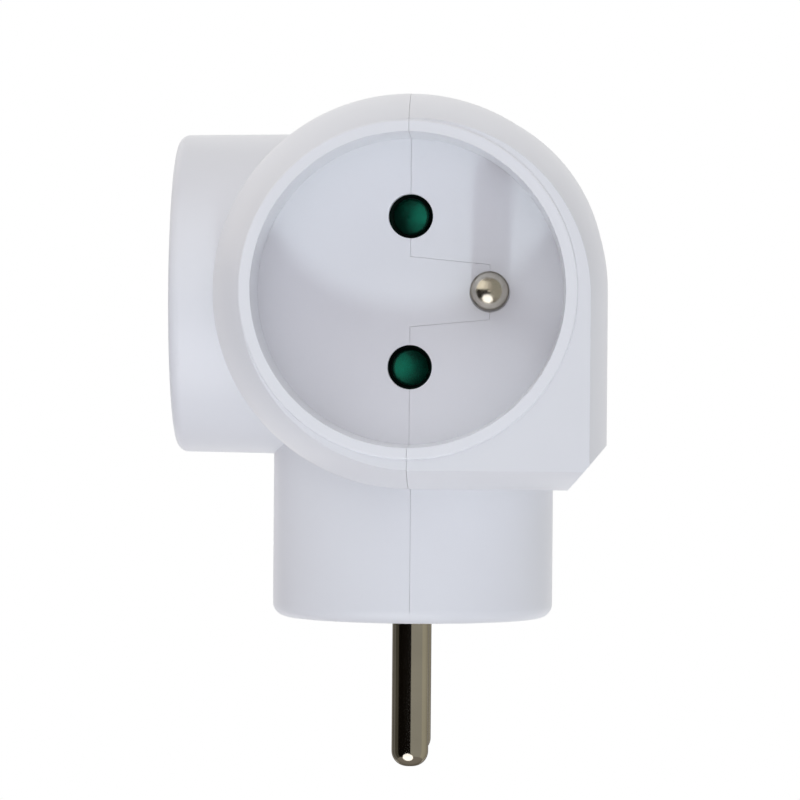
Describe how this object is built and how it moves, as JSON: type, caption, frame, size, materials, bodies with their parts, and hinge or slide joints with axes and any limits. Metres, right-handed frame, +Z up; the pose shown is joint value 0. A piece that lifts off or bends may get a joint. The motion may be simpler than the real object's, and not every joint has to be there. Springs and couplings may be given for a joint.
{
  "type": "multi socket adapter",
  "caption": "T-shaped plug-in mains adapter with round shuttered socket outlets on the ends and side of a white two-part housing, earth pins in the recesses and a round-pin plug below.",
  "frame": {"origin": "centre of the plug's end face, where the pins leave it", "axes": "+Z up along the plug's axis, away from the pins; -Y out of the front outlet; -X out of the side outlet"},
  "size_m": [0.056, 0.088, 0.0864],
  "materials": {
    "housing": "satin moulded white",
    "inner_plastic": "moulded white",
    "brass": "stamped",
    "nickel": "nickel plated",
    "spring_steel": "plain",
    "screw_steel": "zinc plated",
    "shutter": "moulded green"
  },
  "bodies": {
    "housing": {"left_housing": "housing", "right_housing": "housing", "side_shutter_cover": "inner_plastic", "live_strip": "brass", "neutral_strip": "brass", "earth_strip": "brass", "live_plug_pin": "nickel", "neutral_plug_pin": "nickel", "plug_earth_sleeve": "nickel", "plug_earth_ring": "spring_steel", "front_earth_pin": "nickel", "side_earth_pin": "nickel", "rear_earth_pin": "nickel", "front_shutter_spring": "spring_steel", "side_shutter_spring": "spring_steel", "rear_shutter_spring": "spring_steel", "top_screw": "screw_steel", "front_screw": "screw_steel", "rear_screw": "screw_steel"},
    "front_rotor": {"front_shutter": "shutter"},
    "side_rotor": {"side_shutter": "shutter"},
    "rear_rotor": {"rear_shutter": "shutter"}
  },
  "joints": [
    {"name": "front_shutter_turn", "type": "hinge", "parent": "housing", "child": "front_rotor", "pos_m": [0, -0.029, 0.04255], "axis": [0, 1, 0], "range_deg": [0, 34], "stiffness_Nm_per_rad": 0.002, "springref_deg": -20.05, "deforming": ["front_shutter_spring"]},
    {"name": "side_shutter_turn", "type": "hinge", "parent": "housing", "child": "side_rotor", "pos_m": [-0.01625, 0, 0.04255], "axis": [1, 0, 0], "range_deg": [0, 34], "stiffness_Nm_per_rad": 0.002, "springref_deg": -20.05, "deforming": ["side_shutter_spring"]},
    {"name": "rear_shutter_turn", "type": "hinge", "parent": "housing", "child": "rear_rotor", "pos_m": [0, 0.029, 0.04255], "axis": [0, -1, 0], "range_deg": [0, 34], "stiffness_Nm_per_rad": 0.002, "springref_deg": -20.05, "deforming": ["rear_shutter_spring"]}
  ]
}
